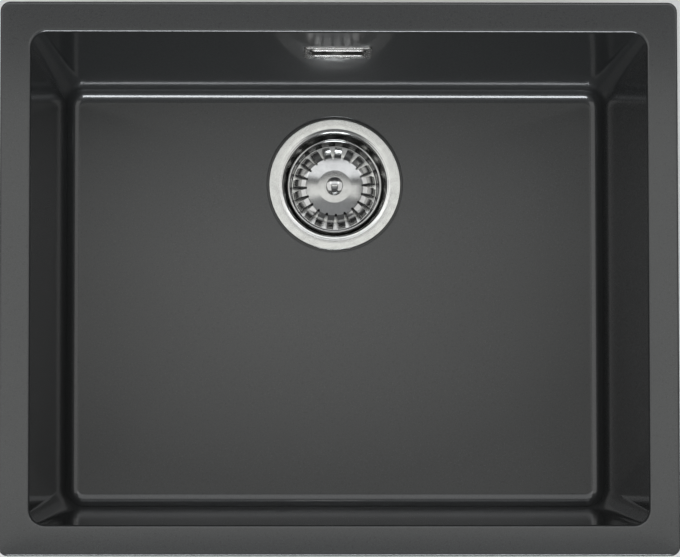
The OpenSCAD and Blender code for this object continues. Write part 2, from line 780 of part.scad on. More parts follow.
// Elbow: socket for the pipe, quarter bend, and a leg that enters the waste body
module overflow_elbow() {
    leg_end = inlet_mouth_y - insertion;
    leg_len = pipe_y - bend_r - leg_end;
    color([0.13, 0.13, 0.14]) difference() {
        union() {
            at_elbow_mouth() translate([0, 0, -elbow_socket - eps]) cylinder(r = spigot_r, h = elbow_socket + eps);
            elbow_bend(pipe_r + 1.4);
            translate([0, leg_end, inlet_z]) rotate([-90, 0, 0]) cylinder(r = pipe_r, h = leg_len + eps);
        }
        at_elbow_mouth() translate([0, 0, -insertion - 1]) cylinder(r = spigot_bore_r, h = insertion + 1 + over);
        at_elbow_mouth() translate([0, 0, -elbow_socket - bore_into_bend])
            cylinder(r = pipe_bore_r - bore_step, h = elbow_socket);
        elbow_bend(pipe_bore_r);
        translate([0, leg_end - over, inlet_z]) rotate([-90, 0, 0])
            cylinder(r = pipe_bore_r - bore_step, h = leg_len + over + bore_into_bend);
    }
}

module elbow_bend(r) {
    translate([0, pipe_y - bend_r, inlet_z + bend_r]) rotate([0, -90, 180]) rotate([0, 0, 180])
        rotate_extrude(angle = 90) translate([bend_r, 0]) circle(r);
}

bowl();
rim_inserts();
flange_seal();
strainer_cup();
cup_screw();
waste_seal();
waste_body();
clamp_nut();
knob();
stem();
stopper_washer();
stopper();
guide_pin();
basket();
overflow_plate();
overflow_screw();
overflow_seal();
overflow_head();
overflow_head_nut();
color([0.85, 0.85, 0.83]) at_head_mouth() wedge_seal();  // pipe_top_seal
color([0.13, 0.13, 0.14]) at_head_mouth() ribbed_nut();  // pipe_top_nut
overflow_pipe();
color([0.85, 0.85, 0.83]) at_elbow_mouth() wedge_seal();  // pipe_low_seal
color([0.13, 0.13, 0.14]) at_elbow_mouth() ribbed_nut();  // pipe_low_nut
overflow_elbow();
color([0.85, 0.85, 0.83]) at_inlet_mouth() wedge_seal();  // inlet_seal
color([0.13, 0.13, 0.14]) at_inlet_mouth() ribbed_nut();  // inlet_nut
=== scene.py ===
import bmesh
import bpy
import math
from mathutils import Matrix, Vector


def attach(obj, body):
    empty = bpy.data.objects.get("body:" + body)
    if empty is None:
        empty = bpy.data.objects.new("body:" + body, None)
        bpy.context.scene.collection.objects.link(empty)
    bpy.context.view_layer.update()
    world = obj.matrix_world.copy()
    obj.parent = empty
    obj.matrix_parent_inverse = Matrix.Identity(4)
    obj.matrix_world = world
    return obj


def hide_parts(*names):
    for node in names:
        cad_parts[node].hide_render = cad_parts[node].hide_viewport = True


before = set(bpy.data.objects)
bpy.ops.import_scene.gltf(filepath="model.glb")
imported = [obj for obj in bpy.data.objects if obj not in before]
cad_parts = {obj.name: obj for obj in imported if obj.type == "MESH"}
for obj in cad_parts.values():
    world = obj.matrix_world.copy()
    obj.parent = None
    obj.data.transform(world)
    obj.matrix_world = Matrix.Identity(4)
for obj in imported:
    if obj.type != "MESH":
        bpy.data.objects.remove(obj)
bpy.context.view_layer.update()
print("frame loaded:", len(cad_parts), "nodes")

# Sizes are in millimetres and angles in degrees, as in the part's source; mm turns them into metres
mm = 0.001
mouthHalf = (250.0, 200.0)
rimTop = 10.0
floorZ = -190.0
fillet = 12.0
draft = 6.8
slope = math.tan(math.radians(draft))
floorHalf = (215.501, 165.501)
drainY = 97.0
overflowZ = -56.5
overflowY = mouthHalf[1] - (rimTop - overflowZ) * slope

# Edges that bend more than this are drawn sharp, on moulded pieces and on turned or pressed ones
mouldedAngle = 32
turnedAngle = 40
toolMargin = 1.0                # how far a cutting tool reaches past what it cuts


# Camera, looking down into the bowl from a little in front of its middle

cameraView = {
    "place": (-0.077, -0.342, 4.01),
    "aim": (0.0004, -0.0007, 0.010),
    "lens": 262.9,
    "sensor": 36.0,
    "roll": -0.05,
}


def addCamera(view):
    data = bpy.data.cameras.new("camera")
    data.sensor_width = view["sensor"]
    data.lens = view["lens"]
    data.clip_start = 0.1
    data.clip_end = 100
    camera = bpy.data.objects.new("camera", data)
    bpy.context.scene.collection.objects.link(camera)
    place = Vector(view["place"])
    back = (place - Vector(view["aim"])).normalized()
    up = (Vector((0, 1, 0)) - back * back.y).normalized()
    right = up.cross(back)
    turn = Matrix((right, up, back)).transposed().to_4x4()
    roll = Matrix.Rotation(math.radians(view["roll"]), 4, "Z")
    camera.matrix_world = Matrix.Translation(place) @ turn @ roll
    bpy.context.scene.camera = camera


addCamera(cameraView)
print("camera placed")


# Mesh helpers: outlines are (radius, height) or (x, y) pairs in millimetres

def arc(centre, radius, start, end, steps):
    points = []
    for i in range(steps + 1):
        a = math.radians(start + (end - start) * i / steps)
        points.append((centre[0] + radius * math.cos(a), centre[1] + radius * math.sin(a)))
    return points


# Outline of a sheet whose middle line follows the path
def sheetOutline(path, thickness):
    left, right = [], []
    last = len(path) - 1
    for i, point in enumerate(path):
        before = Vector(path[max(i, 1)]) - Vector(path[max(i, 1) - 1])
        after = Vector(path[min(i + 1, last)]) - Vector(path[min(i + 1, last) - 1])
        before.normalize()
        after.normalize()
        middle = (before + after).normalized()
        side = Vector((-middle.y, middle.x)) / middle.dot(after) * (thickness / 2)
        left.append((point[0] + side.x, point[1] + side.y))
        right.append((point[0] - side.x, point[1] - side.y))
    return left + right[::-1]


def newPiece(name, points, faces, sharpAngle=mouldedAngle):
    mesh = bpy.data.meshes.new(name)
    mesh.from_pydata([tuple(p) for p in points], [], faces)
    mesh.validate()
    tidy = bmesh.new()
    tidy.from_mesh(mesh)
    bmesh.ops.remove_doubles(tidy, verts=tidy.verts, dist=1e-7)
    bmesh.ops.recalc_face_normals(tidy, faces=tidy.faces)
    tidy.to_mesh(mesh)
    tidy.free()
    piece = bpy.data.objects.new(name, mesh)
    bpy.context.scene.collection.objects.link(piece)
    smoothPiece(piece, sharpAngle)
    return piece


def smoothPiece(piece, sharpAngle):
    piece.data.polygons.foreach_set("use_smooth", [True] * len(piece.data.polygons))
    piece.data.set_sharp_from_angle(angle=math.radians(sharpAngle))


# A closed outline turned about the drain's axis
def turnedPiece(name, outline, steps):
    points, faces, rings = [], [], []
    for radius, height in outline:
        if radius < 1e-4:
            rings.append([len(points)] * steps)
            points.append((0.0, drainY * mm, height * mm))
            continue
        rings.append(list(range(len(points), len(points) + steps)))
        for k in range(steps):
            a = 2 * math.pi * k / steps
            points.append((radius * math.cos(a) * mm, (drainY + radius * math.sin(a)) * mm, height * mm))
    for i, ring in enumerate(rings):
        other = rings[(i + 1) % len(rings)]
        for k in range(steps):
            n = (k + 1) % steps
            face = []
            for p in (ring[k], ring[n], other[n], other[k]):
                if p not in face:
                    face.append(p)
            if len(face) > 2:
                faces.append(face)
    return newPiece(name, points, faces, turnedAngle)


# Rings of equally many points joined to a closed skin, the last ring to the first
def loftedPiece(name, rings):
    count = len(rings[0])
    points = [p for ring in rings for p in ring]
    faces = []
    for i in range(len(rings)):
        j = (i + 1) % len(rings)
        for k in range(count):
            n = (k + 1) % count
            faces.append((i * count + k, i * count + n, j * count + n, j * count + k))
    return newPiece(name, points, faces)


def prismPiece(name, outline, low, high, turn=None):
    count = len(outline)
    points = [Vector((x, y, z)) for z in (low, high) for x, y in outline]
    faces = [tuple(range(count)), tuple(range(count, 2 * count))]
    for k in range(count):
        n = (k + 1) % count
        faces.append((k, n, count + n, count + k))
    if turn is not None:
        points = [turn @ p for p in points]
    return newPiece(name, [p * mm for p in points], faces)


def roundedOutline(width, height, radius, steps=6):
    outline = []
    for sx, sy, start in ((1, 1, 0), (-1, 1, 90), (-1, -1, 180), (1, -1, 270)):
        centre = (sx * (width / 2 - radius), sy * (height / 2 - radius))
        outline += arc(centre, radius, start, start + 90, steps)
    return outline


# One mesh from several pieces that don't touch
def joinPieces(name, parts):
    joined = bmesh.new()
    for part in parts:
        joined.from_mesh(part.data)
        bpy.data.objects.remove(part)
    mesh = bpy.data.meshes.new(name)
    joined.to_mesh(mesh)
    joined.free()
    piece = bpy.data.objects.new(name, mesh)
    bpy.context.scene.collection.objects.link(piece)
    return piece


# Cuts or adds the tools with exact booleans and bakes the result
def carve(piece, steps, sharpAngle=mouldedAngle):
    for operation, tool in steps:
        modifier = piece.modifiers.new(operation, "BOOLEAN")
        modifier.operation = operation
        modifier.solver = "EXACT"
        modifier.object = tool
    graph = bpy.context.evaluated_depsgraph_get()
    baked = bpy.data.meshes.new_from_object(piece.evaluated_get(graph))
    piece.modifiers.clear()
    old = piece.data
    piece.data = baked
    bpy.data.meshes.remove(old)
    for _, tool in steps:
        bpy.data.objects.remove(tool)
    smoothPiece(piece, sharpAngle)


# The back wall's own frame: x along it, y out through it and z up along it
wallTurn = Matrix.Translation((0, overflowY, overflowZ)) @ Matrix.Rotation(math.radians(-draft), 4, "X")


def wallBlock(name, width, height, radius, near, far, steps=6, lift=0.0):
    lay = wallTurn @ Matrix.Translation((0, 0, lift)) @ Matrix.Rotation(math.radians(90), 4, "X")
    return prismPiece(name, roundedOutline(width, height, radius, steps), -far, -near, lay)


# Material helpers

# A small builder that keeps a node tree's nodes and links short to write
class Wiring:
    def __init__(self, tree):
        self.tree = tree

    def add(self, kind, settings=None, **inputs):
        node = self.tree.nodes.new(kind)
        for key, value in (settings or {}).items():
            setattr(node, key, value)
        for key, value in inputs.items():
            self.feed(node, key.replace("_", " "), value)
        return node

    def feed(self, node, key, value):
        socket = node.inputs[int(key[1:])] if key[0] == "i" and key[1:].isdigit() else node.inputs[key]
        if isinstance(value, bpy.types.NodeSocket):
            self.tree.links.new(value, socket)
        else:
            socket.default_value = value

    def math(self, operation, first, second=0.0, clamp=False):
        node = self.add("ShaderNodeMath", {"operation": operation, "use_clamp": clamp}, i0=first, i1=second)
        return node.outputs[0]

    def mixColours(self, factor, first, second):
        node = self.add("ShaderNodeMix", {"data_type": "RGBA"})
        self.feed(node, "i0", factor)
        self.feed(node, "i6", first)
        self.feed(node, "i7", second)
        return node.outputs[2]

    def noise(self, place, scale, detail=2.0, roughness=0.5, distortion=0.0):
        node = self.add("ShaderNodeTexNoise", None, Vector=place, Scale=scale, Detail=detail,
                        Roughness=roughness, Distortion=distortion)
        return node.outputs["Fac"]

    def spread(self, value, low, high, toLow=0.0, toHigh=1.0):
        node = self.add("ShaderNodeMapRange")
        for index, number in enumerate((value, low, high, toLow, toHigh)):
            self.feed(node, "i%d" % index, number)
        return node.outputs[0]


def startGroup(name, inputs, outputs):
    group = bpy.data.node_groups.new(name, "ShaderNodeTree")
    for way, sockets in (("INPUT", inputs), ("OUTPUT", outputs)):
        for socketName, kind in sockets.items():
            group.interface.new_socket(name=socketName, in_out=way, socket_type="NodeSocket" + kind)
    wiring = Wiring(group)
    return group, wiring, wiring.add("NodeGroupInput").outputs, wiring.add("NodeGroupOutput")


# Mineral grain of the moulded composite: fine light and dark flecks and a slightly pebbled face, and a
# painted shade that darkens the floor towards its edges
def buildStoneGrainAndFloorShade():
    group, w, given, out = startGroup(
        "stoneGrainAndFloorShade",
        {"Colour": "Color", "Light Fleck": "Color", "Dark Fleck": "Color", "Grain Scale": "Float",
         "Pebble Height": "Float", "Low Roughness": "Float", "High Roughness": "Float",
         "Dull Coat": "Float", "Gloss Centre": "Vector", "Gloss Reach": "Vector"},
        {"Color": "Color", "Roughness": "Float", "Coat": "Float", "Normal": "Vector"},
    )
    place = w.add("ShaderNodeTexCoord").outputs["Object"]
    fine = w.noise(place, given["Grain Scale"], 3.0, 0.6)
    coarseScale = w.math("MULTIPLY", given["Grain Scale"], 0.42)
    coarse = w.noise(place, coarseScale, 2.0, 0.55)
    cloud = w.noise(place, 14.0, 3.0, 0.55)
    lightMask = w.spread(fine, 0.56, 0.72)
    darkMask = w.spread(coarse, 0.56, 0.7)
    tone = w.spread(cloud, 0.3, 0.7, 0.94, 1.06)
    colour = w.mixColours(lightMask, given["Colour"], given["Light Fleck"])
    colour = w.mixColours(w.math("MULTIPLY", darkMask, 0.75), colour, given["Dark Fleck"])
    toned = w.add("ShaderNodeVectorMath", {"operation": "SCALE"}, i0=colour, Scale=tone)
    w.feed(out, "Color", toned.outputs[0])
    mixed = w.math("ADD", w.math("MULTIPLY", fine, 0.6), w.math("MULTIPLY", coarse, 0.4))
    rough = w.spread(mixed, 0.35, 0.65, given["Low Roughness"], given["High Roughness"])
    w.feed(out, "Roughness", rough)
    # The coat is full on the walls and the rim and in the middle of the floor, and thins towards the
    # floor's edges: this is painted shade, darker towards the floor's edges
    away = w.add("ShaderNodeVectorMath", {"operation": "SUBTRACT"}, i0=place, i1=given["Gloss Centre"])
    scaled = w.add("ShaderNodeVectorMath", {"operation": "DIVIDE"}, i0=away.outputs[0],
                   i1=given["Gloss Reach"])
    flat = w.add("ShaderNodeVectorMath", {"operation": "MULTIPLY"}, i0=scaled.outputs[0], i1=(1, 1, 0))
    reach = w.add("ShaderNodeVectorMath", {"operation": "LENGTH"}, i0=flat.outputs[0]).outputs[1]
    height = w.add("ShaderNodeSeparateXYZ", None, i0=place).outputs[2]
    onFloor = w.spread(height, (floorZ + 0.05) * mm, (floorZ + 0.2) * mm, 1.0, 0.0)
    paintedEdgeShade = w.math("MULTIPLY", w.spread(reach, 0.25, 1.15), onFloor)
    w.feed(out, "Coat", w.spread(paintedEdgeShade, 0.0, 1.0, 1.0, given["Dull Coat"]))
    bump = w.add("ShaderNodeBump", None, Strength=given["Pebble Height"], Distance=0.0001, Height=mixed)
    w.feed(out, "Normal", bump.outputs[0])
    return group


# Marks of turning or brushing on steel and brass, with faint handling marks
def buildMetalMarks():
    group, w, given, out = startGroup(
        "metalMarks",
        {"Colour": "Color", "Worn Colour": "Color", "Turned": "Float", "Mark Scale": "Float",
         "Mark Height": "Float", "Low Roughness": "Float", "High Roughness": "Float"},
        {"Color": "Color", "Roughness": "Float", "Normal": "Vector"},
    )
    place = w.add("ShaderNodeTexCoord").outputs["Object"]
    split = w.add("ShaderNodeSeparateXYZ", None, i0=place).outputs
    fromAxis = w.math("SUBTRACT", split[1], drainY * mm)
    radius = w.math("SQRT", w.math("ADD", w.math("MULTIPLY", split[0], split[0]),
                                   w.math("MULTIPLY", fromAxis, fromAxis)))
    alongAxis = w.math("MULTIPLY", split[2], 0.6)
    ringPlace = w.add("ShaderNodeCombineXYZ", None, X=radius, Y=alongAxis).outputs[0]
    alongBrush = w.math("MULTIPLY", split[0], 0.02)
    brushPlace = w.add("ShaderNodeCombineXYZ", None, X=alongBrush, Y=split[1], Z=split[2]).outputs[0]
    chosen = w.add("ShaderNodeMix", {"data_type": "VECTOR"})
    w.feed(chosen, "i0", given["Turned"])
    w.feed(chosen, "i4", brushPlace)
    w.feed(chosen, "i5", ringPlace)
    marks = w.noise(chosen.outputs[1], given["Mark Scale"], 4.0, 0.65)
    handling = w.noise(place, 130.0, 4.0, 0.6, 0.6)
    worn = w.spread(handling, 0.42, 0.7)
    w.feed(out, "Color", w.mixColours(worn, given["Colour"], given["Worn Colour"]))
    both = w.math("ADD", w.math("MULTIPLY", marks, 0.6), w.math("MULTIPLY", handling, 0.4))
    rough = w.spread(both, 0.35, 0.65, given["Low Roughness"], given["High Roughness"])
    w.feed(out, "Roughness", rough)
    bump = w.add("ShaderNodeBump", None, Strength=given["Mark Height"], Distance=0.00005, Height=marks)
    w.feed(out, "Normal", bump.outputs[0])
    return group


# Fine leathery grain, flow shading and dust of moulded plastic and rubber
def buildMouldedFace():
    group, w, given, out = startGroup(
        "mouldedFace",
        {"Colour": "Color", "Dust Colour": "Color", "Dust": "Float", "Grain Scale": "Float",
         "Grain Height": "Float", "Low Roughness": "Float", "High Roughness": "Float"},
        {"Color": "Color", "Roughness": "Float", "Normal": "Vector"},
    )
    place = w.add("ShaderNodeTexCoord").outputs["Object"]
    grain = w.noise(place, given["Grain Scale"], 2.0, 0.5)
    flow = w.noise(place, 45.0, 4.0, 0.6, 0.8)
    facing = w.add("ShaderNodeNewGeometry").outputs["Normal"]
    up = w.add("ShaderNodeSeparateXYZ", None, i0=facing).outputs[2]
    settled = w.math("MULTIPLY", w.spread(up, 0.1, 1.0), w.spread(flow, 0.35, 0.7))
    dusty = w.math("MULTIPLY", settled, given["Dust"], True)
    w.feed(out, "Color", w.mixColours(dusty, given["Colour"], given["Dust Colour"]))
    rough = w.spread(flow, 0.3, 0.7, given["Low Roughness"], given["High Roughness"])
    w.feed(out, "Roughness", rough)
    bump = w.add("ShaderNodeBump", None, Strength=given["Grain Height"], Distance=0.00006, Height=grain)
    w.feed(out, "Normal", bump.outputs[0])
    return group


finishGroups = {
    "stone": buildStoneGrainAndFloorShade(),
    "metal": buildMetalMarks(),
    "moulded": buildMouldedFace(),
}

# What each finish gives its group, and what it sets on the shader itself
finishes = {
    "quartzComposite": {
        "group": "stone",
        "Colour": (0.0135, 0.0145, 0.0147, 1), "Light Fleck": (0.052, 0.055, 0.054, 1),
        "Dark Fleck": (0.003, 0.003, 0.003, 1), "Grain Scale": 1500.0, "Pebble Height": 0.2,
        # The coat's weight at the floor's edges, and the centre and reach of its fall, paint shade on the
        # floor, darker towards its edges
        "Low Roughness": 0.4, "High Roughness": 0.5, "Dull Coat": 0.5,
        "Gloss Centre": (-0.04, 0.015, 0.0), "Gloss Reach": (0.25, 0.15, 1.0),
        "shader": {"IOR": 1.46, "Coat Roughness": 0.09, "Coat IOR": 1.5},
    },
    "satinSteel": {
        "group": "metal",
        "Colour": (0.62, 0.62, 0.605, 1), "Worn Colour": (0.57, 0.57, 0.555, 1), "Turned": 1.0,
        "Mark Scale": 2600.0, "Mark Height": 0.1, "Low Roughness": 0.15, "High Roughness": 0.22,
        "shader": {"Metallic": 1.0},
    },
    "brightSteel": {
        "group": "metal",
        "Colour": (0.48, 0.48, 0.475, 1), "Worn Colour": (0.44, 0.44, 0.435, 1), "Turned": 1.0,
        "Mark Scale": 3500.0, "Mark Height": 0.04, "Low Roughness": 0.1, "High Roughness": 0.15,
        "shader": {"Metallic": 1.0},
    },
    "plateSteel": {
        "group": "metal",
        "Colour": (0.46, 0.45, 0.435, 1), "Worn Colour": (0.4, 0.39, 0.375, 1), "Turned": 0.0,
        "Mark Scale": 3200.0, "Mark Height": 0.015, "Low Roughness": 0.24, "High Roughness": 0.3,
        "shader": {"Metallic": 1.0},
    },
    "screwSteel": {
        "group": "metal",
        "Colour": (0.6, 0.6, 0.585, 1), "Worn Colour": (0.48, 0.48, 0.46, 1), "Turned": 0.0,
        "Mark Scale": 2400.0, "Mark Height": 0.15, "Low Roughness": 0.25, "High Roughness": 0.36,
        "shader": {"Metallic": 1.0},
    },
    "insertBrass": {
        "group": "metal",
        "Colour": (0.72, 0.5, 0.2, 1), "Worn Colour": (0.5, 0.34, 0.14, 1), "Turned": 0.0,
        "Mark Scale": 2400.0, "Mark Height": 0.12, "Low Roughness": 0.22, "High Roughness": 0.36,
        "shader": {"Metallic": 1.0},
    },
    "stopperRubber": {
        "group": "moulded",
        "Colour": (0.012, 0.012, 0.0125, 1), "Dust Colour": (0.04, 0.04, 0.039, 1), "Dust": 0.3,
        "Grain Scale": 2200.0, "Grain Height": 0.2, "Low Roughness": 0.5, "High Roughness": 0.66,
        "shader": {"IOR": 1.48},
    },
    "sealRubber": {
        "group": "moulded",
        "Colour": (0.018, 0.018, 0.019, 1), "Dust Colour": (0.05, 0.05, 0.048, 1), "Dust": 0.25,
        "Grain Scale": 1800.0, "Grain Height": 0.3, "Low Roughness": 0.58, "High Roughness": 0.74,
        "shader": {"IOR": 1.48},
    },
    "blackPlastic": {
        "group": "moulded",
        "Colour": (0.021, 0.021, 0.023, 1), "Dust Colour": (0.07, 0.07, 0.068, 1), "Dust": 0.22,
        "Grain Scale": 1500.0, "Grain Height": 0.35, "Low Roughness": 0.3, "High Roughness": 0.46,
        "shader": {"IOR": 1.49},
    },
    "wedgePlastic": {
        "group": "moulded",
        "Colour": (0.62, 0.62, 0.58, 1), "Dust Colour": (0.5, 0.49, 0.45, 1), "Dust": 0.3,
        "Grain Scale": 1700.0, "Grain Height": 0.2, "Low Roughness": 0.34, "High Roughness": 0.5,
        "shader": {"IOR": 1.51},
    },
    "nylon": {
        "group": "moulded",
        "Colour": (0.72, 0.7, 0.63, 1), "Dust Colour": (0.6, 0.58, 0.52, 1), "Dust": 0.2,
        "Grain Scale": 2000.0, "Grain Height": 0.15, "Low Roughness": 0.3, "High Roughness": 0.44,
        "shader": {"IOR": 1.53},
    },
}


def buildFinish(name, recipe):
    material = bpy.data.materials.new(name)
    material.use_nodes = True
    material.node_tree.nodes.clear()
    w = Wiring(material.node_tree)
    out = w.add("ShaderNodeOutputMaterial")
    shader = w.add("ShaderNodeBsdfPrincipled")
    w.feed(out, "Surface", shader.outputs[0])
    effect = w.add("ShaderNodeGroup", {"node_tree": finishGroups[recipe["group"]]})
    for key, value in recipe.items():
        if key not in ("group", "shader"):
            w.feed(effect, key, value)
    w.feed(shader, "Base Color", effect.outputs["Color"])
    w.feed(shader, "Roughness", effect.outputs["Roughness"])
    w.feed(shader, "Normal", effect.outputs["Normal"])
    if "Coat" in effect.outputs:
        w.feed(shader, "Coat Weight", effect.outputs["Coat"])
    for key, value in recipe["shader"].items():
        shader.inputs[key].default_value = value
    return material


materials = {name: buildFinish(name, recipe) for name, recipe in finishes.items()}
print("finishes made:", len(materials))


def dress(piece, finish):
    piece.data.materials.clear()
    piece.data.materials.append(materials[finish])


def settle(piece, body, node, finish):
    dress(piece, finish)
    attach(piece, body)
    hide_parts(node)


# Bowl: one closed skin of rings from the drain hole up over the rim and down the underside

bowlShape = {
    "rim": (275.0, 225.0, 8.0),     # half sizes and corner radius
    "rimEdge": 2.0,
    "rimFoot": 0.4,
    "crown": 0.12,                  # the rim's top falls this far towards its outer edge
    "mouthCorner": 13.0,
    "mouthEdge": 2.5,
    "floorCorner": 4.0,             # corner of the floor's flat part
    "wall": 9.0,
    "fall": (0.15, 2.5),            # from the floor's edges to the drain, behind it and in front of it
    "seatRadius": 57.5,
    "seatZ": -196.0,
    "seatLead": 0.8,
    "seatLand": 0.6,
    "bossRadius": 62.0,
    "bossZ": -205.0,
    "bossCone": 2.0,
    "bossBevel": 0.6,
    "holeRadius": 45.0,
    "rootRound": 1.5,               # between the rim's underside and the wall
    "cornerSteps": 14,
    "filletSteps": 30,
    "underSteps": 12,
    "floorShares": (0.06, 0.14, 0.24, 0.36, 0.48, 0.6, 0.72, 0.84, 0.93, 0.98),
    "wallShares": (0.01, 0.1, 0.2, 0.3, 0.4, 0.5, 0.6, 0.7, 0.8, 0.9, 0.97, 0.995),
    "rimShares": (0.02, 0.15, 0.3, 0.45, 0.6, 0.75, 0.9, 0.98),
    "lugRadius": 6.3,
    "lugLength": 20.0,
    "insertBore": 6.4,
    "insertLength": 12.0,
    "insertPlaces": (150.0, 110.0, 7.0),    # along the long and the short sides, and out from the mouth
    "pad": (66.0, 52.0, 6.0, 1.5),          # width, height, corner radius and rise
    "opening": (48.0, 19.5, 4.0, 3.0),      # width, height, corner radius and lift
}
floorSize = (*floorHalf, bowlShape["floorCorner"])


# Where the points of a straight side lie, from -1 to 1, so that they fan evenly round the drain
def fanOfSide(half, distance, shift, step=3.2):
    low = math.atan2(-half - shift, distance)
    high = math.atan2(half - shift, distance)
    count = max(4, round(math.degrees(high - low) / step))
    places = [shift + distance * math.tan(low + (high - low) * i / count) for i in range(count + 1)]
    return [p / half for p in places]


def sideFans(size):
    halfX, halfY, corner = size
    alongX, alongY = halfX - corner, halfY - corner
    return {
        "side": fanOfSide(alongY, halfX, drainY),
        "back": fanOfSide(alongX, halfY - drainY, 0.0),
        "front": fanOfSide(alongX, halfY + drainY, 0.0),
    }


bowlFans = sideFans(floorSize)


# A rounded rectangle grown all round, anticlockwise from the front end of the right side
def roundedRing(size, grow, z):
    halfX, halfY, radius = (part + grow for part in size)
    x, y = halfX - radius, halfY - radius
    steps = bowlShape["cornerSteps"]
    ring = [(halfX, t * y) for t in bowlFans["side"]]
    ring += arc((x, y), radius, 0, 90, steps)[1:-1]
    ring += [(t * x, halfY) for t in bowlFans["back"][::-1]]
    ring += arc((-x, y), radius, 90, 180, steps)[1:-1]
    ring += [(-halfX, t * y) for t in bowlFans["side"][::-1]]
    ring += arc((-x, -y), radius, 180, 270, steps)[1:-1]
    ring += [(t * x, -halfY) for t in bowlFans["front"]]
    ring += arc((x, -y), radius, 270, 360, steps)[1:-1]
    return [Vector((px, py, z)) * mm for px, py in ring]


# The drain's circle with each point in line with the floor ring's point
def drainRing(radius, z, guide):
    ring = []
    for point in guide:
        away = Vector((point.x, point.y - drainY * mm)).normalized() * radius * mm
        ring.append(Vector((away.x, away.y + drainY * mm, z * mm)))
    return ring


# The lip of the drain's seat, tilted so that the floor behind the drain stays nearly level
def lipRing(shape, radius, above, guide):
    ring = drainRing(radius, floorZ + above, guide)
    least, most = shape["fall"]
    for point in ring:
        toBack = (point.y / mm - drainY) / radius
        point.z -= (least + (most - least) * (1 - toBack) / 2) * mm
    return ring


def ringsBetween(first, second, shares):
    return [[a.lerp(b, share) for a, b in zip(first, second)] for share in shares]


# From the drain hole over the lip of its seat and along the floor
def floorRings(shape, guide):
    seat, lead, seatZ = shape["seatRadius"], shape["seatLead"], shape["seatZ"]
    rings = [drainRing(shape["holeRadius"], z, guide) for z in (shape["bossZ"], seatZ)]
    rings.append(drainRing(seat, seatZ, guide))
    for radius, above in arc((seat + lead, -lead), lead, 180, 90, 4):
        rings.append(lipRing(shape, radius, above, guide))
    rings.append(lipRing(shape, seat + lead + shape["seatLand"], 0, guide))
    return rings + ringsBetween(rings[-1], guide, shape["floorShares"])


def filletRings(radius, steps):
    rings = []
    for i in range(steps + 1):
        a = math.radians((90 - draft) * i / steps)
        z = floorZ + fillet - radius * math.cos(a)
        rings.append(roundedRing(floorSize, radius * math.sin(a), z))
    return rings


# The round of the mouth, the rim's crowned top and the round of its outer edge
def rimRings(shape, mouth):
    edge, rimEdge, crown = shape["mouthEdge"], shape["rimEdge"], shape["crown"]
    rings = [roundedRing(mouth, out, z) for out, z in arc((edge, rimTop - edge), edge, 180 - draft, 90, 12)]
    inner = [part + edge for part in mouth]
    outer = [part - rimEdge for part in shape["rim"]]
    for share in shape["rimShares"]:
        size = [a + (b - a) * share for a, b in zip(inner, outer)]
        rings.append(roundedRing(size, 0, rimTop - crown * share ** 2))
    for out, z in arc((0, rimTop - crown - rimEdge), rimEdge, 90, 0, 8):
        rings.append(roundedRing(outer, out, z))
    return rings


# The rim's underside, the outside of the wall and its fillet, and the boss round the drain hole
def underRings(shape, guide):
    foot, root, wall = shape["rimFoot"], shape["rootRound"], shape["wall"]
    rings = [roundedRing(shape["rim"], 0, foot), roundedRing(shape["rim"], -foot, 0)]
    shoulder = wall / math.cos(math.radians(draft)) - rimTop * slope
    outside = (mouthHalf[0] + shoulder, mouthHalf[1] + shoulder, shape["mouthCorner"] + wall)
    rings += [roundedRing(outside, out, z) for out, z in arc((root, -root), root, 90, 180, 5)]
    rings += filletRings(fillet + wall, shape["underSteps"])[::-1]
    boss, bossZ, bevel = shape["bossRadius"], shape["bossZ"], shape["bossBevel"]
    under, coneZ = floorZ - wall, bossZ + shape["bossCone"]
    end = ((boss + under - coneZ, under), (boss, coneZ), (boss, bossZ + bevel), (boss - bevel, bossZ))
    return rings + [drainRing(radius, z, guide) for radius, z in end]


def bowlRings(shape):
    guide = roundedRing(floorSize, 0, floorZ)
    edge = shape["mouthEdge"]
    mouth = [part - edge * slope for part in (*mouthHalf, shape["mouthCorner"])]
    rings = floorRings(shape, guide) + filletRings(fillet, shape["filletSteps"])
    rings += ringsBetween(rings[-1], roundedRing(mouth, 0, rimTop - edge), shape["wallShares"])
    return rings + rimRings(shape, mouth) + underRings(shape, guide)


def insertFrames(shape):
    x, y, out = shape["insertPlaces"]
    halfX, halfY = mouthHalf
    frames = []
    for side in (1, -1):
        for s in (-1, 1):
            frames.append(Matrix.Translation((s * x, side * (halfY + out), 0))
                          @ Matrix.Rotation(math.radians(90 * side), 4, "Z"))
            frames.append(Matrix.Translation((side * (halfX + out), s * y, 0))
                          @ Matrix.Rotation(math.radians(0 if side > 0 else 180), 4, "Z"))
    return frames


def makeBowl(shape):
    bowl = loftedPiece("bowlMoulding", bowlRings(shape))
    r, length = shape["lugRadius"], shape["lugLength"]
    lugOutline = arc((0, 0), r, -90, 90, 16) + [(-r, r), (-r, -r)]
    boreOutline = arc((0, 0), shape["insertBore"] / 2, 0, 360 - 11.25, 31)
    frames = insertFrames(shape)
    lugs = [prismPiece("lug", lugOutline, -length, toolMargin, turn) for turn in frames]
    bores = [prismPiece("bore", boreOutline, -length - toolMargin, -length + shape["insertLength"], turn)
             for turn in frames]
    width, height, radius, thick = shape["pad"]
    outside = shape["wall"] + thick
    pad = wallBlock("pad", width, height, radius, shape["wall"] / 2, outside, 8)
    width, height, radius, lift = shape["opening"]
    opening = wallBlock("opening", width, height, radius, -3 * toolMargin, outside + toolMargin, 10, lift)
    carve(bowl, [
        ("UNION", joinPieces("lugs", lugs)),
        ("UNION", pad),
        ("DIFFERENCE", joinPieces("bores", bores)),
        ("DIFFERENCE", opening),
    ])
    settle(bowl, "root", "bowl", "quartzComposite")


makeBowl(bowlShape)
print("bowl moulded")


# Strainer cup: pressed from one sheet, with a flat flange rolled down at both edges

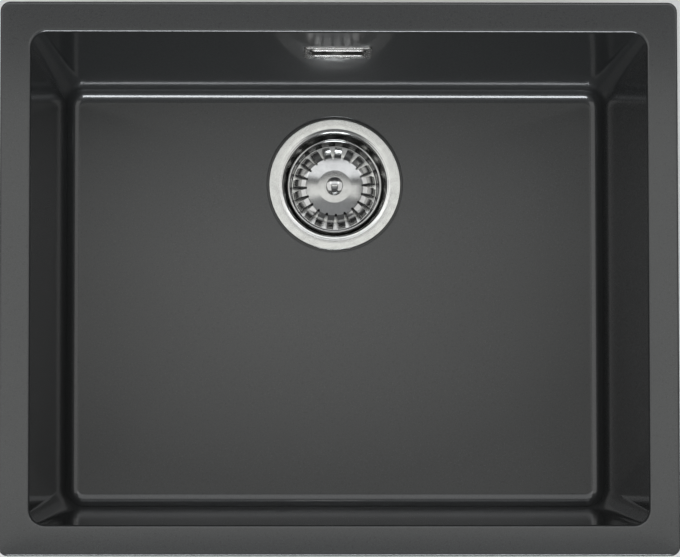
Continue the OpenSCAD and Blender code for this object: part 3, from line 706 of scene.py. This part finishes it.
cupShape = {
    "flangeTop": -193.85,
    "flangeRadius": 56.0,
    "sheet": 0.8,
    "edgeRoll": 0.7,
    "flangeIn": (1.6, 5.0),         # points of the flat top, in from its edge
    "flangeOut": ((3.6, 0.0), (3.3, -0.03), (2.6, -0.35)),   # and out from the wall, with their heights
    "dip": 0.9,
    "lipRadius": 1.6,
    "wallRadius": 44.1,
    "wallSteps": ((0.4, -7.2), (0.9, -12.0), (1.2, -17.0)),  # in from the wall's radius, with heights
    "lowRadius": 41.4,
    "bendRadius": 3.0,
    "bendUp": 1.1,
    "depth": 37.4,
    "beadRadius": 22.5,
    "beadHeight": 1.0,
    "hubRadius": 9.0,
    "screwHole": 3.2,
    "holes": 8,
    "holeRadius": 3.6,
    "holeRing": 14.5,
}


def makeCup(shape):
    flange, sheet, roll = shape["flangeRadius"], shape["sheet"], shape["edgeRoll"]
    wall, lip, depth = shape["wallRadius"], shape["lipRadius"], shape["depth"]
    bead, bend = shape["beadRadius"], shape["bendRadius"]
    top = -sheet / 2
    path = arc((flange - roll, -roll), roll - sheet / 2, 0, 90, 7)
    path += [(flange - inward, top) for inward in shape["flangeIn"]]
    path += [(wall + out, top + height) for out, height in shape["flangeOut"]]
    path += arc((wall + lip, -shape["dip"] - lip), lip, 92, 180, 10)
    path += [(wall - inward, height) for inward, height in shape["wallSteps"]]
    path += arc((shape["lowRadius"] - bend, -depth + bend + shape["bendUp"]), bend, -4, -88, 10)
    path += [(bead + 8, -depth), (bead + 3, -depth)]
    path += arc((bead, -depth - sheet / 2), shape["beadHeight"] + sheet / 2, 30, 150, 8)
    path += [(bead - 3, -depth), (shape["hubRadius"] + 2, -depth), (shape["screwHole"], -depth)]
    outline = [(r, z + shape["flangeTop"]) for r, z in sheetOutline(path, sheet)]
    cup = turnedPiece("strainerCup", outline, 160)
    ground = shape["flangeTop"] - depth
    drills = []
    for i in range(shape["holes"]):
        a = 2 * math.pi * (i + 0.5) / shape["holes"]
        centre = (shape["holeRing"] * math.cos(a), drainY + shape["holeRing"] * math.sin(a))
        hole = arc(centre, shape["holeRadius"], 0, 360 - 11.25, 31)
        drills.append(prismPiece("drill", hole, ground - 3 * toolMargin, ground + 3 * toolMargin))
    carve(cup, [("DIFFERENCE", joinPieces("drills", drills))], turnedAngle)
    settle(cup, "root", "strainer_cup", "satinSteel")


makeCup(cupShape)
print("strainer cup pressed")


# Basket: dome, trough, wall and rolled rim, cut by slots that leave strips of one width

basketShape = {
    "plateZ": -209.85,
    "sheet": 0.8,
    "diameter": 81.0,
    "rise": 4.0,
    "rimRoll": 1.0,
    "shankHole": 3.28,
    "flatRadius": 14.3,
    "brimRadius": 24.5,
    "domeTilts": (5.5, 7.3),    # the dome starts with a crease at the flat and steepens to its brim
    "shoulderTilts": (14.0, 32.0),
    "shoulderRadius": 32.2,
    "brimRound": 4.0,
    "kneeRound": 1.6,
    "trough": ((35.6, 1.2), (35.8, 1.4)),   # middle and radius of the round on each side of its ground
    "troughDown": 15.4,
    "slots": 20,
    "stripWidth": 5.6,
    "slotInner": 24.0,
    "slotOuter": 35.6,
    "slotPhase": 0.15,
}


# An arc that goes on smoothly from a point where the normal stands at the first angle
def roundOff(start, radius, first, last, steps):
    a = math.radians(first)
    centre = (start[0] - radius * math.cos(a), start[1] - radius * math.sin(a))
    return arc(centre, radius, first, last, steps)[1:]


def basketOutline(shape):
    sheet, roll = shape["sheet"], shape["rimRoll"]
    flat, brim, trough = shape["flatRadius"], shape["brimRadius"], shape["troughDown"]
    domeStart, domeEnd = (90 - tilt for tilt in shape["domeTilts"])
    dome = (brim - flat) / (math.cos(math.radians(domeEnd)) - math.cos(math.radians(domeStart)))
    shoulderStart, shoulderEnd = (90 - tilt for tilt in shape["shoulderTilts"])
    rim = (shape["diameter"] / 2 - roll - sheet / 2, shape["rise"] - roll - sheet / 2)
    path = [(shape["shankHole"], 0), (6, 0), (flat - 0.6, 0), (flat, -0.05)]
    path += roundOff(path[-1], dome, domeStart, domeEnd, 10)
    path += roundOff(path[-1], shape["brimRound"], domeEnd, shoulderStart, 3)
    spread = math.cos(math.radians(shoulderEnd)) - math.cos(math.radians(shoulderStart))
    shoulder = (shape["shoulderRadius"] - path[-1][0]) / spread
    path += roundOff(path[-1], shoulder, shoulderStart, shoulderEnd, 8)
    path += roundOff(path[-1], shape["kneeRound"], shoulderEnd, 10, 8)
    for (middle, radius), (first, last, steps) in zip(shape["trough"], ((190, 270, 6), (276, 354, 7))):
        path += arc((middle, -trough + radius), radius, first, last, steps)
    path += [(rim[0] - roll - 0.1, rim[1] - 1.5)]
    path += arc(rim, roll, 175, -20, 14)
    return [(r, z + shape["plateZ"]) for r, z in sheetOutline(path, sheet)]


def slotOutline(shape, angle):
    def halfGap(r):
        return (2 * math.pi * r / shape["slots"] - shape["stripWidth"]) / 2
    inner, outer = shape["slotInner"], shape["slotOuter"]
    narrow = halfGap(inner)
    points = arc((inner + narrow * 0.3, 0), narrow, 110, 250, 6)
    points += [(outer - 0.5, -halfGap(outer) + 0.1), (outer, -halfGap(outer) + 0.6)]
    points += [(outer, halfGap(outer) - 0.6), (outer - 0.5, halfGap(outer) - 0.1)]
    turn = Matrix.Rotation(angle, 2)
    return [tuple(turn @ Vector(p) + Vector((0, drainY))) for p in points]


def makeBasket(shape):
    basket = turnedPiece("basket", basketOutline(shape), 180)
    low = shape["plateZ"] - shape["troughDown"]
    cutters = []
    for i in range(shape["slots"]):
        outline = slotOutline(shape, 2 * math.pi * (i + shape["slotPhase"]) / shape["slots"])
        cutters.append(prismPiece("slot", outline, low - 2 * toolMargin, shape["plateZ"] + 2 * toolMargin))
    carve(basket, [("DIFFERENCE", joinPieces("slots", cutters))], turnedAngle)
    settle(basket, "basket", "basket", "brightSteel")


makeBasket(basketShape)
print("basket slotted")


# Knob: turned from bar, with a domed cap over a waisted neck

knobShape = {
    "shoulder": -209.15,
    "diameter": 14.0,
    "height": 11.5,
    "stemRadius": 2.0,
    "stemTop": -200.65,
    "shankRadius": 3.2,
    "shankFoot": -1.4,
    "domeHeight": 1.4,
    "capShare": 0.42,               # the cap starts at this share of the height
    "neckShare": 0.62,
    "neckRound": 1.5,
    "capRound": 0.6,
    "domeRound": 0.5,
}


def makeKnob(shape):
    r, height, dome = shape["diameter"] / 2, shape["height"], shape["domeHeight"]
    shank, shankFoot, stem = shape["shankRadius"], shape["shankFoot"], shape["stemRadius"]
    neckRound, capRound, domeRound = shape["neckRound"], shape["capRound"], shape["domeRound"]
    capLow = height * shape["capShare"]
    neck = r * shape["neckShare"]
    stemTop = shape["stemTop"] - shape["shoulder"]
    domeRadius = (r * r + dome * dome) / (2 * dome)
    half = math.degrees(math.asin((r - domeRound) / domeRadius))
    outline = [(stem, shankFoot), (shank, shankFoot), (shank, 0), (neck + 0.8, 0)]
    outline += arc((neck + neckRound, capLow / 2), neckRound, 240, 120, 10)
    outline += arc((r - capRound, capLow + capRound), capRound, -90, 0, 5)
    outline += [(r, height - dome - capRound)]
    outline += arc((r - domeRound, height - dome - 0.35), domeRound, 10, 65, 5)
    outline += arc((0, height - domeRadius), domeRadius, 90 - half + 1.2, 90, 14)
    outline += [(0, stemTop), (stem, stemTop)]
    knob = turnedPiece("knob", [(x, z + shape["shoulder"]) for x, z in outline], 96)
    settle(knob, "plug", "knob", "brightSteel")


makeKnob(knobShape)
print("knob turned")


# Overflow plate: flat frame, a slot with a round bead, a collar into the wall and a strap for the screw

plateShape = {
    "size": (56.0, 35.0, 3.0),      # width, height and corner radius, as for the slot
    "proud": 0.9,
    "play": 0.05,
    "hollow": 0.2,                  # the frame's back stands this far off the wall inside its edge
    "sheet": 1.0,
    "edge": (0.4, 0.6),             # round of the outer edge, and the share by which its corners tighten
    "slot": (45.0, 17.0, 3.5),
    "lift": 3.0,                    # the slot's middle stands this far above the plate's
    "bead": (-0.1, 0.9, 0.2),       # the bead's middle out from the slot, its radius and its rise
    "collar": 5.0,
    "strap": (10.0, 0.05),          # its width and corner radius
    "screwRadius": 2.7,
}


def plateRing(width, height, radius, depth, lift=0.0, steps=9):
    outline = []
    x, y = width / 2 - radius, height / 2 - radius
    sides = (((x, y), 0), ((-x, y), 90), ((-x, -y), 180), ((x, -y), 270))
    for i, (centre, start) in enumerate(sides):
        corner = arc(centre, radius, start, start + 90, steps)
        following = sides[(i + 1) % 4]
        ahead = arc(following[0], radius, following[1], following[1] + 90, steps)[0]
        outline += corner
        outline += [tuple(Vector(corner[-1]).lerp(Vector(ahead), k / 6)) for k in range(1, 6)]
    return [(wallTurn @ Vector((px, depth, pz + lift))) * mm for px, pz in outline]


def makePlate(shape):
    width, height, corner = shape["size"]
    slotWidth, slotHeight, slotCorner = shape["slot"]
    sheet, play, lift, hollow = shape["sheet"], shape["play"], shape["lift"], shape["hollow"]
    edge, tighten = shape["edge"]
    out, radius, rise = shape["bead"]
    collar, face = shape["collar"], -shape["proud"]
    rings = [plateRing(width, height, corner, -play)]
    for along, depth in arc((-edge, face + edge), edge, 0, -90, 7):
        rings.append(plateRing(width + 2 * along, height + 2 * along, corner + along * tighten, depth))
    for along, depth in [(out + radius, face)] + arc((out, face - rise), radius, -8, -180, 14):
        size = (slotWidth + 2 * along, slotHeight + 2 * along, slotCorner + along)
        rings.append(plateRing(*size, depth, lift))
    rings.append(plateRing(slotWidth - 2 * sheet, slotHeight - 2 * sheet, slotCorner - sheet, collar, lift))
    for depth in (collar, -hollow):
        rings.append(plateRing(slotWidth, slotHeight, slotCorner, depth, lift))
    for depth in (-hollow, -play):
        rings.append(plateRing(width - 2 * sheet, height - 2 * sheet, corner - sheet, depth))
    plate = loftedPiece("overflowPlate", rings)
    wide, strapCorner = shape["strap"]
    strap = wallBlock("strap", wide, slotHeight - sheet, strapCorner, collar - sheet, collar, 1, lift)
    screw = shape["screwRadius"]
    hole = wallBlock("hole", 2 * screw, 2 * screw, screw - 0.001, collar - sheet - toolMargin,
                     collar + toolMargin, 10)
    carve(plate, [("UNION", strap), ("DIFFERENCE", hole)])
    settle(plate, "root", "overflow_plate", "plateSteel")


makePlate(plateShape)
print("overflow plate pressed")


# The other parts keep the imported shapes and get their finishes

carriedFinishes = {
    "rim_inserts": "insertBrass",
    "flange_seal": "sealRubber",
    "cup_screw": "screwSteel",
    "waste_seal": "sealRubber",
    "waste_body": "blackPlastic",
    "clamp_nut": "insertBrass",
    "stem": "screwSteel",
    "stopper_washer": "screwSteel",
    "stopper": "stopperRubber",
    "guide_pin": "nylon",
    "overflow_screw": "screwSteel",
    "overflow_seal": "sealRubber",
    "overflow_head": "blackPlastic",
    "overflow_head_nut": "insertBrass",
    "pipe_top_seal": "wedgePlastic",
    "pipe_top_nut": "blackPlastic",
    "overflow_pipe": "blackPlastic",
    "pipe_low_seal": "wedgePlastic",
    "pipe_low_nut": "blackPlastic",
    "overflow_elbow": "blackPlastic",
    "inlet_seal": "wedgePlastic",
    "inlet_nut": "blackPlastic",
}

for node, finish in carriedFinishes.items():
    dress(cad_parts[node], finish)
print("carried parts finished:", len(carriedFinishes))


# Studio: pale floor, a strong low window in front, broad soft panels overhead, behind and at both sides,
# and dim surroundings

studio = {
    "floorZ": -0.2852,
    "floorHalf": 20.0,
    "floorColour": (0.8, 0.8, 0.79, 1),
    "floorRoughness": 0.8,
    "worldColour": (0.12, 0.122, 0.125, 1),
    "seenColour": (0.78, 0.78, 0.77, 1),
}
# A lamp stands on one side of the sink, between two angles from straight above, and faces its rim
lamps = {
    "front": {"side": -90, "angles": (47, 66), "distance": 5.0, "width": 2.1, "radiance": 16.0,
              "colour": (0.96, 1.0, 1.04)},
    "aboveFront": {"side": -90, "angles": (-0.1, 12.5), "distance": 8.0, "width": 3.6, "radiance": 0.27,
                   "colour": (0.97, 1.0, 1.03)},
    "above": {"side": 90, "angles": (0.1, 8.4), "distance": 8.0, "width": 4.3, "radiance": 1.25,
              "colour": (1.0, 1.01, 0.98)},
    "back": {"side": 90, "angles": (12.5, 55), "distance": 8.0, "width": 7.5, "radiance": 1.4,
             "colour": (0.98, 1.0, 1.02)},
    "left": {"side": 180, "angles": (18.5, 55), "distance": 8.0, "width": 7.5, "radiance": 1.2,
             "colour": (1.0, 1.0, 0.99)},
    "right": {"side": 0, "angles": (18.5, 50), "distance": 8.0, "width": 7.5, "radiance": 1.05,
              "colour": (1.0, 1.0, 0.99)},
}


def addLamp(name, lamp):
    low, high = (math.radians(a) for a in lamp["angles"])
    data = bpy.data.lights.new(name, "AREA")
    data.shape = "RECTANGLE"
    data.size = lamp["width"]
    data.size_y = 2 * lamp["distance"] * math.tan((high - low) / 2)
    data.color = lamp["colour"]
    data.energy = lamp["radiance"] * math.pi * data.size * data.size_y
    light = bpy.data.objects.new(name, data)
    bpy.context.scene.collection.objects.link(light)
    side = math.radians(lamp["side"])
    lean = (low + high) / 2
    away = Vector((math.sin(lean) * math.cos(side), math.sin(lean) * math.sin(side), math.cos(lean)))
    across = Vector((-math.sin(side), math.cos(side), 0))
    turn = Matrix((across, away.cross(across), away)).transposed().to_4x4()
    light.matrix_world = Matrix.Translation(away * lamp["distance"]) @ turn
    light.visible_camera = False


def addFloor(settings):
    h = settings["floorHalf"]
    mesh = bpy.data.meshes.new("floor")
    mesh.from_pydata([(-h, -h, 0), (h, -h, 0), (h, h, 0), (-h, h, 0)], [], [(0, 1, 2, 3)])
    floor = bpy.data.objects.new("floor", mesh)
    floor.location.z = settings["floorZ"]
    bpy.context.scene.collection.objects.link(floor)
    material = bpy.data.materials.new("paleFloor")
    material.use_nodes = True
    shader = material.node_tree.nodes["Principled BSDF"]
    shader.inputs["Base Color"].default_value = settings["floorColour"]
    shader.inputs["Roughness"].default_value = settings["floorRoughness"]
    mesh.materials.append(material)


# The camera sees a pale room beyond the floor, while the sink is lit by a dim one
def lightWorld(settings):
    world = bpy.data.worlds.new("surroundings")
    bpy.context.scene.world = world
    world.use_nodes = True
    world.node_tree.nodes.clear()
    w = Wiring(world.node_tree)
    seen = w.add("ShaderNodeLightPath").outputs["Is Camera Ray"]
    colour = w.mixColours(seen, settings["worldColour"], settings["seenColour"])
    background = w.add("ShaderNodeBackground", None, Color=colour, Strength=1.0)
    w.add("ShaderNodeOutputWorld", None, Surface=background.outputs[0])


for name, lamp in lamps.items():
    addLamp(name, lamp)
addFloor(studio)
lightWorld(studio)
bpy.context.scene.view_settings.view_transform = "Standard"
print("studio lit")
